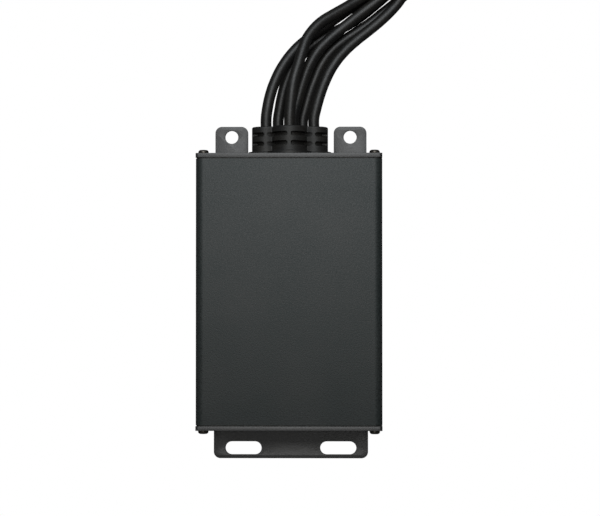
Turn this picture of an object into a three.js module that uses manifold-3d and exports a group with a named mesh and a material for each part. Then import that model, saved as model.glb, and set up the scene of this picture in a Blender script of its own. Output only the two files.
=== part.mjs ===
// Brake controller unit: an extruded aluminium box closed by two bent end plates, with six moulded-in leads.
// Millimetres. The unit lies on its mounting side, so +Z points away from the surface it is fixed to.
// +Y is the cable end. The origin is under the middle of the box, on the mounting plane.
import * as THREE from 'three';
import { mergeVertices } from 'three/addons/utils/BufferGeometryUtils.js';
import Module from 'manifold-3d';

const wasm = await Module();
wasm.setup();

// Fits
const CLEARANCE = 0.3; // gap left round anything that passes through or into another piece

// Housing, an extruded tube
const HOUSING_WIDTH = 100;
const HOUSING_HEIGHT = 44;
const HOUSING_LENGTH = 142.8;
const HOUSING_WALL = 2.2;
const HOUSING_CORNER_RADIUS = 4.5;
const RIB_REACH = 2.6;
const RIB_THICKNESS = 1.2;

// End plates, bent from sheet, and their gaskets
const PLATE_THICKNESS = 2.4;
const PLATE_CORNER_RADIUS = 1.6;
const BEND_RADIUS = 1.2;
const LUG_CORNER_RADIUS = 3.6;
const GASKET_THICKNESS = 0.5;
const GASKET_INSET = 0.4;
const GASKET_RIM = 3.1;

// Ears on the cable end plate, one round hole in each
const EAR_REACH = 17.2;
const EAR_WIDTH = 18.1;
const EAR_SPACING = 65.4;
const EAR_HOLE_DIAMETER = 7.2;
const EAR_HOLE_FROM_TIP = 5.8;

// Foot on the other end plate, with two slots
const FOOT_REACH = 17.1;
const FOOT_WIDTH = 85;
const SLOT_SPACING = 52.2;
const SLOT_LENGTH = 19.9;
const SLOT_WIDTH = 7.2;
const SLOT_FROM_TIP = 5.7;

// M3 screws in the corners of both plates
const SCREW_INSET = 4.1;
const SCREW_DIAMETER = 3;
const SCREW_LENGTH = 9;
const SCREW_HEAD_DIAMETER = 5.6;
const SCREW_HEAD_HEIGHT = 1.8;
const SCREW_SOCKET_DIAMETER = 2.3;
const SCREW_SOCKET_DEPTH = 1;
const BOSS_WALL = 1.8;

// Cable gland, one lobe round each outer lead
const GLAND_LOBE_RADIUS = 7.7;
const GLAND_FRONT_LOBE_RADIUS = 9.4;
const GLAND_FLOOR_GAP = 1;
const GLAND_HEIGHT = 15.4;
const GLAND_FLANGE_THICKNESS = 1.8;
const GLAND_FLANGE_RIM = 2;
const GLAND_NECK_INSET = 1;
const GLAND_LIP_RIM = 0.6;
const GLAND_LIP_THICKNESS = 2;
const GLAND_SLOT_STARTS = [5.05, 10.05];
const GLAND_SLOT_HEIGHT = 2;
const GLAND_SLOT_DEPTH = 3;
const GLAND_POST_WIDTH = 2.2;
const GLAND_OUTLINE_POINTS = 72;

// Leads: where each leaves the gland, across the unit and above the two lowest leads
const LEAD_DIAMETER = 6;
const LEAD_SIDES = 10;
const LEAD_STRAIGHT = 4.8;
const LEAD_PLACES = {
  left: [-13, 9],
  low_left: [-6.7, 0],
  front: [0, 17.7],
  middle: [1.8, 8.5],
  low_right: [6.7, 0],
  right: [13, 9],
};

// Circuit board and what stands on it
const BOARD_THICKNESS = 1.6;
const BOARD_LEVEL = 14;
const BOARD_END_GAPS = { cable: 22, foot: 6 };
const BLOCK_SIZE = [47, 12, 12];
const TERMINAL_PITCH = 7.6;
const TERMINAL_LEVEL = 6;
const INNER_LEAD_DIAMETER = 4;
const CAPACITOR_DIAMETER = 12.5;
const CAPACITOR_HEIGHT = 20;
const CAPACITOR_PITCH = 16;
const CAPACITOR_COUNT = 3;
const CAPACITOR_FROM_WALL = 17.8;
const CAPACITOR_FROM_BOARD_END = 25.8;
const CHIP_OFFSET = 4;
const PROCESSOR_SIZE = [12, 12, 1.6];
const PROCESSOR_FROM_BLOCK = 45.8;
const SENSOR_SIZE = [5, 5, 1.2];
const SENSOR_FROM_BLOCK = 23.8;

// Heat path below the board
const PAD_THICKNESS = 0.6;
const SPREADER_WIDTH = 18;
const SPREADER_LENGTH = 84;
const SPREADER_FROM_WALL = 7.8;
const SPREADER_FROM_BOARD_END = 3.8;
const TRANSISTOR_SIZE = [15.5, 10.2, 4.6];
const TRANSISTOR_PITCH = 20;
const TRANSISTOR_COUNT = 4;

// Coil of the spare length: strands lie three across and two high, and the bundle laps over itself.
// Along Y, the coil and the free leads are placed from the gland's end face.
const COIL_CENTRE = [55, 120.3];
const COIL_INNER_STRAND_RADIUS = 27.5;
const STRAND_PITCH = 6.3;
const STRANDS_ACROSS = 3;
const COIL_LAYERS = 4;
const COIL_CORNER_RADIUS = 3;
const COIL_SEGMENTS = 32;
const TIE_THICKNESS = 1.2;
const TIE_WIDTH = 4.6;
const TIE_ANGLES = [-22, 34];
const TIE_HEAD = [4.4, 6, 5.4];

// Connectors, from the cable end: [radius, distance along]
const CONNECTOR_GAP = 0.9;
const CONNECTOR_PROFILE = [
  [3.9, 0],
  [4.7, 7],
  [5.6, 9],
  [5.6, 20],
  [6.2, 20.6],
  [6.2, 24.4],
  [5, 25],
  [5, 30],
  [4, 30],
  [4, 27.2],
];

// Free leads from the gland to the coil: the points that each passes through after its straight start
const LEAD_ROUTES = {
  left: [
    [-12.4, 9.8, 20.3],
    [-10.8, 17.6, 19.6],
    [-8, 25.8, 18.6],
    [-3.7, 34.3, 17.3],
    [2.4, 42.5, 15.6],
    [8.3, 48.1, 14.2],
    [14.8, 53.1, 12.9],
    [21.6, 58.3, 10.9],
    [28.8, 63.7, 8.4],
    [36.2, 69.2, 6],
    [43.6, 74.8, 4.7],
  ],
  low_left: [
    [-5.9, 10.3, 11.5],
    [-4.4, 18.3, 11.2],
    [-2, 26.6, 10.8],
    [2.1, 35.1, 10.2],
    [8.4, 42.9, 9.4],
    [15, 48.3, 8.5],
    [22.4, 52.6, 7.4],
    [30.2, 56.9, 6.4],
    [37.8, 61.8, 5.6],
    [45, 67.5, 4.9],
    [51.9, 73.4, 4.7],
  ],
  front: [
    [0.3, 9.3, 29.1],
    [1, 16.7, 28.9],
    [2.2, 24.9, 28.2],
    [4.5, 33.1, 27],
    [6.9, 41.3, 25.2],
    [9.1, 47.7, 23.4],
    [12.7, 53.2, 21.5],
    [17.4, 57.9, 19.5],
    [23.4, 61.9, 17.2],
    [29.9, 65.9, 14.7],
    [36.7, 70.3, 12.2],
    [43.6, 74.8, 11],
  ],
  middle: [
    [2.8, 10.1, 19.9],
    [4.8, 17.6, 19.5],
    [7.2, 25.8, 18.6],
    [10.4, 34.2, 17.4],
    [15, 42, 15.9],
    [20.8, 48.3, 14.6],
    [27, 53.7, 13.6],
    [33.2, 58.7, 12.7],
    [39.4, 63.7, 11.8],
    [45.6, 68.5, 11.2],
    [51.9, 73.4, 11],
  ],
  low_right: [
    [8, 10.3, 11.5],
    [10.2, 18.3, 11.2],
    [13.2, 26.6, 10.7],
    [16.8, 34.9, 10],
    [22.4, 42.7, 9],
    [29, 48.5, 8.2],
    [36.7, 53.7, 7.2],
    [44, 58.7, 6.2],
    [50.2, 63.7, 5.4],
    [56.4, 68.7, 4.8],
    [62.4, 73.8, 4.7],
  ],
  right: [
    [14.1, 10, 20.3],
    [16.2, 17.6, 19.6],
    [19.3, 26, 18.6],
    [23.6, 34.3, 17.3],
    [29.7, 42.1, 15.7],
    [36.1, 48.1, 14.4],
    [42.8, 53.5, 13.3],
    [49.2, 58.9, 12.4],
    [54.4, 63.9, 11.6],
    [58.8, 68.9, 11.1],
    [62.4, 73.8, 11],
  ],
};

// Free ends of the leads, from the coil down to the connectors
const TAIL_ROUTES = {
  left: [
    [10.3, 134.7, 17.1],
    [4.6, 132.6, 16.2],
    [-0.9, 130.2, 14.2],
    [-6.3, 127.6, 11.8],
    [-11.5, 124.7, 9.4],
    [-16.7, 121.6, 7.4],
    [-21.7, 118.2, 6.4],
  ],
  low_left: [
    [27.4, 158.3, 17.1],
    [21.4, 158.9, 16.2],
    [15.4, 159.2, 14.2],
    [9.4, 159.2, 11.8],
    [3.4, 158.9, 9.4],
    [-2.6, 158.4, 7.4],
    [-8.5, 157.5, 6.4],
  ],
  front: [
    [8.2, 124.2, 19.6],
    [3.2, 120.9, 16.7],
    [-1.7, 117.4, 14.2],
    [-6.3, 113.6, 11.6],
    [-10.8, 109.6, 9.2],
    [-15.1, 105.4, 7.3],
    [-19.2, 101.1, 6.4],
  ],
  middle: [
    [19.5, 151.1, 19.6],
    [13.6, 150.3, 16.7],
    [7.7, 149.3, 14.2],
    [1.8, 147.9, 11.6],
    [-4, 146.3, 9.2],
    [-9.7, 144.4, 7.3],
    [-15.3, 142.3, 6.4],
  ],
  low_right: [
    [57.1, 167.3, 17.1],
    [52, 170.4, 16.2],
    [46.7, 173.3, 14.2],
    [41.3, 175.9, 11.8],
    [35.8, 178.3, 9.4],
    [30.2, 180.4, 7.4],
    [24.5, 182.3, 6.4],
  ],
  right: [
    [46.5, 166.5, 19.6],
    [40.8, 168.4, 16.7],
    [35, 170, 14.2],
    [29.2, 171.4, 11.6],
    [23.3, 172.5, 9.2],
    [17.3, 173.3, 7.3],
    [11.3, 173.8, 6.4],
  ],
};

const group = new THREE.Group();
const plasticBlack = { color: 0x1d1e1e, roughness: 0.55, metalness: 0 };
const paintedBlack = { color: 0x2f3332, roughness: 0.62, metalness: 0.25 };
const zincBlack = { color: 0x26231f, roughness: 0.4, metalness: 0.8 };
const rubberBlack = { color: 0x161617, roughness: 0.5, metalness: 0 };
const bareAluminium = { color: 0xb4b6b8, roughness: 0.45, metalness: 0.9 };

// --- solids and placing -------------------------------------------------------------------------

function outward(geometry) {
  const plain = geometry.index ? geometry.toNonIndexed() : geometry.clone();
  const corners = plain.attributes.position;
  const [a, b, c] = [new THREE.Vector3(), new THREE.Vector3(), new THREE.Vector3()];
  let volume = 0;
  for (let i = 0; i < corners.count; i += 3) {
    a.fromBufferAttribute(corners, i);
    b.fromBufferAttribute(corners, i + 1);
    c.fromBufferAttribute(corners, i + 2);
    volume += a.dot(b.cross(c));
  }
  if (volume < 0) {
    for (let i = 0; i < corners.count; i += 3) {
      b.fromBufferAttribute(corners, i + 1);
      c.fromBufferAttribute(corners, i + 2);
      corners.setXYZ(i + 1, c.x, c.y, c.z);
      corners.setXYZ(i + 2, b.x, b.y, b.z);
    }
  }
  plain.deleteAttribute('normal');
  plain.deleteAttribute('uv');
  return mergeVertices(plain, 1e-4);
}

function solidOf(geometry) {
  const merged = outward(geometry);
  return new wasm.Manifold(new wasm.Mesh({
    numProp: 3,
    vertProperties: Float32Array.from(merged.attributes.position.array),
    triVerts: Uint32Array.from(merged.index.array),
  }));
}

function geometryOf(solid) {
  const mesh = solid.getMesh();
  const geometry = new THREE.BufferGeometry();
  geometry.setAttribute('position', new THREE.BufferAttribute(Float32Array.from(mesh.vertProperties), 3));
  geometry.setIndex(new THREE.BufferAttribute(Uint32Array.from(mesh.triVerts), 1));
  return geometry;
}

function addPart(name, geometry, look, place = group) {
  const shown = outward(geometry).toNonIndexed();
  shown.computeVertexNormals();
  const mesh = new THREE.Mesh(shown, new THREE.MeshStandardMaterial(look));
  mesh.name = name;
  place.add(mesh);
  return mesh;
}

// --- outlines -----------------------------------------------------------------------------------

function roundedRect(left, bottom, right, top, radius) {
  const shape = new THREE.Shape();
  shape.moveTo(left + radius, bottom);
  shape.lineTo(right - radius, bottom);
  shape.absarc(right - radius, bottom + radius, radius, -Math.PI / 2, 0);
  shape.lineTo(right, top - radius);
  shape.absarc(right - radius, top - radius, radius, 0, Math.PI / 2);
  shape.lineTo(left + radius, top);
  shape.absarc(left + radius, top - radius, radius, Math.PI / 2, Math.PI);
  shape.lineTo(left, bottom + radius);
  shape.absarc(left + radius, bottom + radius, radius, Math.PI, 1.5 * Math.PI);
  return shape;
}

function circleHole(x, y, diameter) {
  return new THREE.Path().absarc(x, y, diameter / 2, 0, 2 * Math.PI, true);
}

function polygon(points) {
  return new THREE.Shape(points.map(([x, y]) => new THREE.Vector2(x, y)));
}

// A shape drawn across and up becomes a bar that runs along Y.
function alongY(shape, from, to, curveSegments = 6) {
  const bar = new THREE.ExtrudeGeometry(shape, { depth: to - from, bevelEnabled: false, curveSegments });
  return bar.rotateX(Math.PI / 2).translate(0, to, 0);
}

// A shape drawn in plan becomes a slab between two heights.
function alongZ(shape, from, to, curveSegments = 6) {
  const slab = new THREE.ExtrudeGeometry(shape, { depth: to - from, bevelEnabled: false, curveSegments });
  return slab.translate(0, 0, from);
}

// A shape drawn along and up becomes a bar that runs along X.
function alongX(shape, from, to, curveSegments = 6) {
  const bar = new THREE.ExtrudeGeometry(shape, { depth: to - from, bevelEnabled: false, curveSegments });
  const turn = new THREE.Matrix4().makeBasis(
    new THREE.Vector3(0, 1, 0),
    new THREE.Vector3(0, 0, 1),
    new THREE.Vector3(1, 0, 0),
  );
  return bar.applyMatrix4(turn).translate(from, 0, 0);
}

function boxAt([width, length, height], x, y, bottom) {
  return new THREE.BoxGeometry(width, length, height).translate(x, y, bottom + height / 2);
}

// --- places worked out from the driving dimensions ----------------------------------------------

const halfWidth = HOUSING_WIDTH / 2;
const housingEnd = HOUSING_LENGTH / 2;
const plateInside = housingEnd + GASKET_THICKNESS;
const plateOutside = plateInside + PLATE_THICKNESS;
const screwHole = SCREW_DIAMETER + 2 * CLEARANCE;
const bossRadius = screwHole / 2 + BOSS_WALL;
const boardTop = BOARD_LEVEL + BOARD_THICKNESS;
const boardEnd = housingEnd - BOARD_END_GAPS.cable;
const boardStart = -housingEnd + BOARD_END_GAPS.foot;
const insideWall = halfWidth - HOUSING_WALL;
const blockStart = boardEnd - BLOCK_SIZE[1];
const glandEnd = plateOutside + GLAND_HEIGHT;
const lowLeadLevel = HOUSING_WALL + GLAND_FLOOR_GAP + GLAND_LIP_RIM + GLAND_LOBE_RADIUS;
const leads = Object.entries(LEAD_PLACES).map(([name, [x, up]]) => ({ name, x, z: lowLeadLevel + up }));

const screwPlaces = [];
for (const side of [-1, 1]) {
  for (const height of [SCREW_INSET, HOUSING_HEIGHT - SCREW_INSET]) {
    screwPlaces.push([side * (halfWidth - SCREW_INSET), height]);
  }
}

function screwHoles(diameter) {
  return screwPlaces.map(([x, z]) => circleHole(x, z, diameter));
}

// --- housing ------------------------------------------------------------------------------------

// One quarter turn of the cavity round a screw boss, in the order that the outline runs.
function bossCorner(path, side, level, startsOnWall) {
  const x = side * (halfWidth - SCREW_INSET);
  const z = level < 0 ? SCREW_INSET : HOUSING_HEIGHT - SCREW_INSET;
  const wallX = side * (halfWidth - HOUSING_WALL);
  const wallZ = level < 0 ? HOUSING_WALL : HOUSING_HEIGHT - HOUSING_WALL;
  const onSideWall = [[wallX, z - level * bossRadius], [x, z - level * bossRadius]];
  const onFloor = [[x - side * bossRadius, z], [x - side * bossRadius, wallZ]];
  const towardsSide = Math.atan2(-level, 0);
  const towardsMiddle = side < 0 ? 0 : Math.PI;
  const [first, last] = startsOnWall ? [onSideWall, onFloor] : [onFloor.reverse(), onSideWall.reverse()];
  const [from, to] = startsOnWall ? [towardsSide, towardsMiddle] : [towardsMiddle, towardsSide];
  const turn = Math.sin(to - from) < 0;
  first.forEach(([a, b]) => path.lineTo(a, b));
  path.absarc(x, z, bossRadius, from, to, turn);
  last.forEach(([a, b]) => path.lineTo(a, b));
}

function boardRib(path, side, downwards) {
  const wallX = side * (halfWidth - HOUSING_WALL);
  const tipX = wallX - side * RIB_REACH;
  const edges = [
    BOARD_LEVEL - RIB_THICKNESS,
    BOARD_LEVEL,
    boardTop + CLEARANCE,
    boardTop + CLEARANCE + RIB_THICKNESS,
  ];
  const corners = [
    [wallX, edges[0]],
    [tipX, edges[0]],
    [tipX, edges[1]],
    [wallX, edges[1]],
    [wallX, edges[2]],
    [tipX, edges[2]],
    [tipX, edges[3]],
    [wallX, edges[3]],
  ];
  (downwards ? corners.reverse() : corners).forEach(([x, z]) => path.lineTo(x, z));
}

function cavityOutline() {
  const path = new THREE.Path();
  path.moveTo(-halfWidth + SCREW_INSET + bossRadius, HOUSING_WALL);
  bossCorner(path, 1, -1, false);
  boardRib(path, 1, false);
  bossCorner(path, 1, 1, true);
  bossCorner(path, -1, 1, false);
  boardRib(path, -1, true);
  bossCorner(path, -1, -1, true);
  return path;
}

const housingShape = roundedRect(-halfWidth, 0, halfWidth, HOUSING_HEIGHT, HOUSING_CORNER_RADIUS);
housingShape.holes.push(cavityOutline(), ...screwHoles(screwHole));
addPart('housing', alongY(housingShape, -housingEnd, housingEnd), paintedBlack);

// --- gland --------------------------------------------------------------------------------------

const glandMiddle = { x: 0, z: leads.find((lead) => lead.name === 'middle').z };
const glandLobes = leads.map((lead) => ({
  ...lead,
  radius: lead.name === 'front' ? GLAND_FRONT_LOBE_RADIUS : GLAND_LOBE_RADIUS,
}));

// The outline round all lobes, grown or shrunk: how far each ray from the gland's middle goes before
// it leaves the last lobe.
function glandOutline(grow) {
  const points = [];
  for (let i = 0; i < GLAND_OUTLINE_POINTS; i += 1) {
    const angle = (2 * Math.PI * i) / GLAND_OUTLINE_POINTS;
    const [across, up] = [Math.cos(angle), Math.sin(angle)];
    let reach = 0;
    for (const lobe of glandLobes) {
      const [dx, dz] = [lobe.x - glandMiddle.x, lobe.z - glandMiddle.z];
      const along = dx * across + dz * up;
      const aside = dx * up - dz * across;
      const half = (lobe.radius + grow) ** 2 - aside ** 2;
      reach = half > 0 ? Math.max(reach, along + Math.sqrt(half)) : reach;
    }
    points.push([glandMiddle.x + across * reach, glandMiddle.z + up * reach]);
  }
  return points;
}

function glandSlab(grow, from, to) {
  return solidOf(alongY(polygon(glandOutline(grow)), from, to));
}

// Posts bridge the slots at the top of the upper lobes, at the bottom of the lower ones and at both sides.
function glandPosts(from, to) {
  const reach = GLAND_FRONT_LOBE_RADIUS + GLAND_FLANGE_RIM;
  const [length, along] = [to - from, (from + to) / 2];
  const upright = glandLobes.filter((lobe) => lobe.name !== 'middle').map((lobe) => {
    const bottom = lobe.z >= glandMiddle.z ? lobe.z : lobe.z - reach;
    return boxAt([GLAND_POST_WIDTH, length, reach], lobe.x, along, bottom);
  });
  const sideways = glandLobes.filter((lobe) => ['left', 'right'].includes(lobe.name)).map((lobe) => {
    const across = lobe.x + (Math.sign(lobe.x) * reach) / 2;
    return boxAt([reach, length, GLAND_POST_WIDTH], across, along, lobe.z - GLAND_POST_WIDTH / 2);
  });
  return [...upright, ...sideways].map(solidOf);
}

function makeGland() {
  let gland = glandSlab(0, plateOutside, glandEnd);
  for (const start of GLAND_SLOT_STARTS) {
    const [from, to] = [plateOutside + start, plateOutside + start + GLAND_SLOT_HEIGHT];
    let cutter = glandSlab(GLAND_FLANGE_RIM, from, to);
    cutter = cutter.subtract(glandSlab(-GLAND_SLOT_DEPTH, from - 1, to + 1));
    for (const post of glandPosts(from - 1, to + 1)) {
      cutter = cutter.subtract(post);
    }
    gland = gland.subtract(cutter);
  }
  const lipStart = plateInside - CLEARANCE - GLAND_LIP_THICKNESS;
  gland = gland.add(glandSlab(GLAND_FLANGE_RIM, plateOutside, plateOutside + GLAND_FLANGE_THICKNESS));
  gland = gland.add(glandSlab(-GLAND_NECK_INSET, lipStart, plateOutside + 1));
  return gland.add(glandSlab(GLAND_LIP_RIM, lipStart, plateInside - CLEARANCE));
}

addPart('cable_gland', geometryOf(makeGland()), plasticBlack);

// --- end plates and gaskets ---------------------------------------------------------------------

function plateWall() {
  const shape = roundedRect(-halfWidth, 0, halfWidth, HOUSING_HEIGHT, PLATE_CORNER_RADIUS);
  shape.holes.push(...screwHoles(screwHole));
  return shape;
}

// A lug is the bent-out part of a plate: its side view, with the bend, cut to its shape in plan.
function lug(plan, reach, width) {
  const tip = plateOutside + reach;
  const side = new THREE.Shape();
  side.moveTo(plateInside, 0);
  side.lineTo(tip, 0);
  side.lineTo(tip, PLATE_THICKNESS);
  side.lineTo(plateOutside + BEND_RADIUS, PLATE_THICKNESS);
  side.absarc(
    plateOutside + BEND_RADIUS,
    PLATE_THICKNESS + BEND_RADIUS,
    BEND_RADIUS,
    -Math.PI / 2,
    -Math.PI,
    true,
  );
  side.lineTo(plateInside, PLATE_THICKNESS + BEND_RADIUS);
  const bent = solidOf(alongX(side, -width / 2, width / 2, 4));
  return bent.intersect(solidOf(alongZ(plan, -1, HOUSING_HEIGHT, 7)));
}

// Plan of a lug: square where it joins the plate, round at its free corners.
function lugPlan(width, reach) {
  const tip = plateOutside + reach;
  const cornerLine = tip - LUG_CORNER_RADIUS;
  const shape = new THREE.Shape();
  shape.moveTo(-width / 2, plateInside);
  shape.lineTo(width / 2, plateInside);
  shape.lineTo(width / 2, cornerLine);
  shape.absarc(width / 2 - LUG_CORNER_RADIUS, cornerLine, LUG_CORNER_RADIUS, 0, Math.PI / 2);
  shape.lineTo(-width / 2 + LUG_CORNER_RADIUS, tip);
  shape.absarc(-width / 2 + LUG_CORNER_RADIUS, cornerLine, LUG_CORNER_RADIUS, Math.PI / 2, Math.PI);
  return shape;
}

function slotHole(x, y) {
  const half = (SLOT_LENGTH - SLOT_WIDTH) / 2;
  const hole = new THREE.Path();
  hole.absarc(x + half, y, SLOT_WIDTH / 2, -Math.PI / 2, Math.PI / 2);
  hole.absarc(x - half, y, SLOT_WIDTH / 2, Math.PI / 2, 1.5 * Math.PI);
  return hole;
}

function makeCableEndPlate() {
  let plate = solidOf(alongY(plateWall(), plateInside, plateOutside));
  plate = plate.subtract(glandSlab(CLEARANCE - GLAND_NECK_INSET, plateInside - 1, plateOutside + 1));
  const plan = lugPlan(EAR_WIDTH, EAR_REACH);
  plan.holes.push(circleHole(0, plateOutside + EAR_REACH - EAR_HOLE_FROM_TIP, EAR_HOLE_DIAMETER));
  const ear = lug(plan, EAR_REACH, EAR_WIDTH);
  for (const side of [-1, 1]) {
    plate = plate.add(ear.translate([(side * EAR_SPACING) / 2, 0, 0]));
  }
  return geometryOf(plate);
}

function makeFootEndPlate() {
  const wall = solidOf(alongY(plateWall(), plateInside, plateOutside));
  const plan = lugPlan(FOOT_WIDTH, FOOT_REACH);
  for (const side of [-1, 1]) {
    plan.holes.push(slotHole((side * SLOT_SPACING) / 2, plateOutside + FOOT_REACH - SLOT_FROM_TIP));
  }
  const plate = wall.add(lug(plan, FOOT_REACH, FOOT_WIDTH));
  return geometryOf(plate).rotateZ(Math.PI);
}

addPart('cable_end_plate', makeCableEndPlate(), paintedBlack);
addPart('foot_end_plate', makeFootEndPlate(), paintedBlack);

// A flat ring on the housing's rim, wide enough in the corners to go round the screws.
function makeGasket() {
  const outer = roundedRect(
    -halfWidth + GASKET_INSET,
    GASKET_INSET,
    halfWidth - GASKET_INSET,
    HOUSING_HEIGHT - GASKET_INSET,
    HOUSING_CORNER_RADIUS - GASKET_INSET,
  );
  const [near, far] = [halfWidth - SCREW_INSET - bossRadius, halfWidth - GASKET_RIM];
  const [low, high] = [GASKET_RIM, HOUSING_HEIGHT - GASKET_RIM];
  const [lowBoss, highBoss] = [SCREW_INSET + bossRadius, HOUSING_HEIGHT - SCREW_INSET - bossRadius];
  const opening = [
    [-near, low],
    [near, low],
    [near, lowBoss],
    [far, lowBoss],
    [far, highBoss],
    [near, highBoss],
    [near, high],
    [-near, high],
    [-near, highBoss],
    [-far, highBoss],
    [-far, lowBoss],
    [-near, lowBoss],
  ];
  outer.holes.push(polygon(opening), ...screwHoles(screwHole));
  return alongY(outer, housingEnd, plateInside);
}

addPart('gasket_cable_end', makeGasket(), rubberBlack);
addPart('gasket_foot_end', makeGasket().rotateZ(Math.PI), rubberBlack);

// --- screws -------------------------------------------------------------------------------------

// A button-head screw standing on Y = 0 with its head above, turned from one profile.
function makeScrew() {
  const [head, shank] = [SCREW_HEAD_DIAMETER / 2, SCREW_DIAMETER / 2];
  const socket = SCREW_SOCKET_DIAMETER / 2;
  const profile = [
    [0, -SCREW_LENGTH],
    [shank - 0.5, -SCREW_LENGTH],
    [shank, -SCREW_LENGTH + 0.6],
    [shank, 0],
    [head, 0],
    [head, SCREW_HEAD_HEIGHT * 0.35],
    [head * 0.86, SCREW_HEAD_HEIGHT * 0.75],
    [socket * 1.25, SCREW_HEAD_HEIGHT],
    [socket, SCREW_HEAD_HEIGHT],
    [socket, SCREW_HEAD_HEIGHT - SCREW_SOCKET_DEPTH],
    [0, SCREW_HEAD_HEIGHT - SCREW_SOCKET_DEPTH],
  ];
  return new THREE.LatheGeometry(profile.map(([r, y]) => new THREE.Vector2(r, y)), 12);
}

let screwNumber = 0;
for (const end of [1, -1]) {
  for (const [x, z] of screwPlaces) {
    screwNumber += 1;
    const screw = addPart(`plate_screw_${screwNumber}`, makeScrew(), zincBlack);
    screw.position.set(x, end * plateOutside, z);
    screw.rotation.x = end > 0 ? 0 : Math.PI;
  }
}

// --- board, heat path and components ------------------------------------------------------------

const boardWidth = HOUSING_WIDTH - 2 * HOUSING_WALL - 2 * CLEARANCE;
const boardMiddle = (boardStart + boardEnd) / 2;
const board = boxAt([boardWidth, boardEnd - boardStart, BOARD_THICKNESS], 0, boardMiddle, BOARD_LEVEL);
addPart('circuit_board', board, { color: 0x1f5a38, roughness: 0.5, metalness: 0.1 });

const transistorLevel = BOARD_LEVEL - TRANSISTOR_SIZE[2];
const spreaderLevel = HOUSING_WALL + PAD_THICKNESS;
const spreaderHeight = transistorLevel - spreaderLevel;
const spreaderX = -insideWall + SPREADER_FROM_WALL + SPREADER_WIDTH / 2;
const spreaderY = boardStart + SPREADER_FROM_BOARD_END + SPREADER_LENGTH / 2;
const pad = boxAt([SPREADER_WIDTH, SPREADER_LENGTH, PAD_THICKNESS], spreaderX, spreaderY, HOUSING_WALL);
addPart('thermal_pad', pad, { color: 0x8c8f96, roughness: 0.8, metalness: 0 });
const spreaderSize = [SPREADER_WIDTH, SPREADER_LENGTH, spreaderHeight];
const spreader = boxAt(spreaderSize, spreaderX, spreaderY, spreaderLevel);
addPart('heat_spreader', spreader, bareAluminium);
for (let i = 0; i < TRANSISTOR_COUNT; i += 1) {
  const y = spreaderY + (i - (TRANSISTOR_COUNT - 1) / 2) * TRANSISTOR_PITCH;
  const body = boxAt(TRANSISTOR_SIZE, spreaderX, y, transistorLevel);
  addPart(`power_transistor_${i + 1}`, body, { color: 0x202022, roughness: 0.6, metalness: 0 });
}

// An electrolytic can with its rolled-in groove near the foot.
function makeCapacitor() {
  const radius = CAPACITOR_DIAMETER / 2;
  const profile = [
    [0, 0],
    [radius, 0],
    [radius, 1.6],
    [radius - 0.6, 2.3],
    [radius, 3],
    [radius, CAPACITOR_HEIGHT - 0.5],
    [radius - 0.5, CAPACITOR_HEIGHT],
    [0, CAPACITOR_HEIGHT],
  ];
  return new THREE.LatheGeometry(profile.map(([r, y]) => new THREE.Vector2(r, y)), 20).rotateX(Math.PI / 2);
}

const capacitorBlue = { color: 0x23272f, roughness: 0.4, metalness: 0.3 };
for (let i = 0; i < CAPACITOR_COUNT; i += 1) {
  const can = addPart(`capacitor_${i + 1}`, makeCapacitor(), capacitorBlue);
  const y = boardStart + CAPACITOR_FROM_BOARD_END + i * CAPACITOR_PITCH;
  can.position.set(insideWall - CAPACITOR_FROM_WALL, y, boardTop);
}
const chip = { color: 0x1a1a1c, roughness: 0.55, metalness: 0 };
const processor = boxAt(PROCESSOR_SIZE, CHIP_OFFSET, blockStart - PROCESSOR_FROM_BLOCK, boardTop);
addPart('processor_chip', processor, chip);
addPart('motion_sensor', boxAt(SENSOR_SIZE, CHIP_OFFSET, blockStart - SENSOR_FROM_BLOCK, boardTop), chip);

const block = boxAt(BLOCK_SIZE, 0, (blockStart + boardEnd) / 2, boardTop);
addPart('terminal_block', block, { color: 0x2f5f3d, roughness: 0.5, metalness: 0 });

// --- leads --------------------------------------------------------------------------------------

function tube(points, diameter, sides, step) {
  const curve = new THREE.CatmullRomCurve3(points.map((p) => new THREE.Vector3(...p)), false, 'centripetal');
  const section = [];
  for (let i = 0; i < sides; i += 1) {
    const angle = (2 * Math.PI * i) / sides;
    section.push([(diameter / 2) * Math.cos(angle), (diameter / 2) * Math.sin(angle)]);
  }
  const steps = Math.max(2, Math.round(curve.getLength() / step));
  return new THREE.ExtrudeGeometry(polygon(section), { steps, extrudePath: curve });
}

const lipInside = plateInside - CLEARANCE - GLAND_LIP_THICKNESS;
leads.forEach(({ x, z }, i) => {
  const from = lipInside - CLEARANCE;
  const to = boardEnd + CLEARANCE;
  const terminal = (i - (leads.length - 1) / 2) * TERMINAL_PITCH;
  const level = boardTop + TERMINAL_LEVEL;
  const straight = (from - to) / 4;
  const points = [
    [x, from, z],
    [x, from - straight, z],
    [(x + terminal) / 2, (from + to) / 2, (z + level) / 2],
    [terminal, to + straight, level],
    [terminal, to, level],
  ];
  addPart(`inner_lead_${i + 1}`, tube(points, INNER_LEAD_DIAMETER, 8, 3), rubberBlack);
});

const cordPlace = new THREE.Group();
cordPlace.position.y = glandEnd;
group.add(cordPlace);

leads.forEach(({ name, x, z }, i) => {
  const points = [[x, CLEARANCE, z], [x, LEAD_STRAIGHT, z], ...LEAD_ROUTES[name]];
  const lead = tube(points, LEAD_DIAMETER, LEAD_SIDES, 2 * LEAD_DIAMETER);
  addPart(`lead_${i + 1}`, lead, rubberBlack, cordPlace);
});

// --- coil, ties, tails and connectors -----------------------------------------------------------

const coilBase = TIE_THICKNESS + CLEARANCE;
const coilTop = coilBase + COIL_LAYERS * STRAND_PITCH;
const coilInside = COIL_INNER_STRAND_RADIUS - STRAND_PITCH / 2;
const coilOutside = coilInside + STRANDS_ACROSS * STRAND_PITCH;

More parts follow.
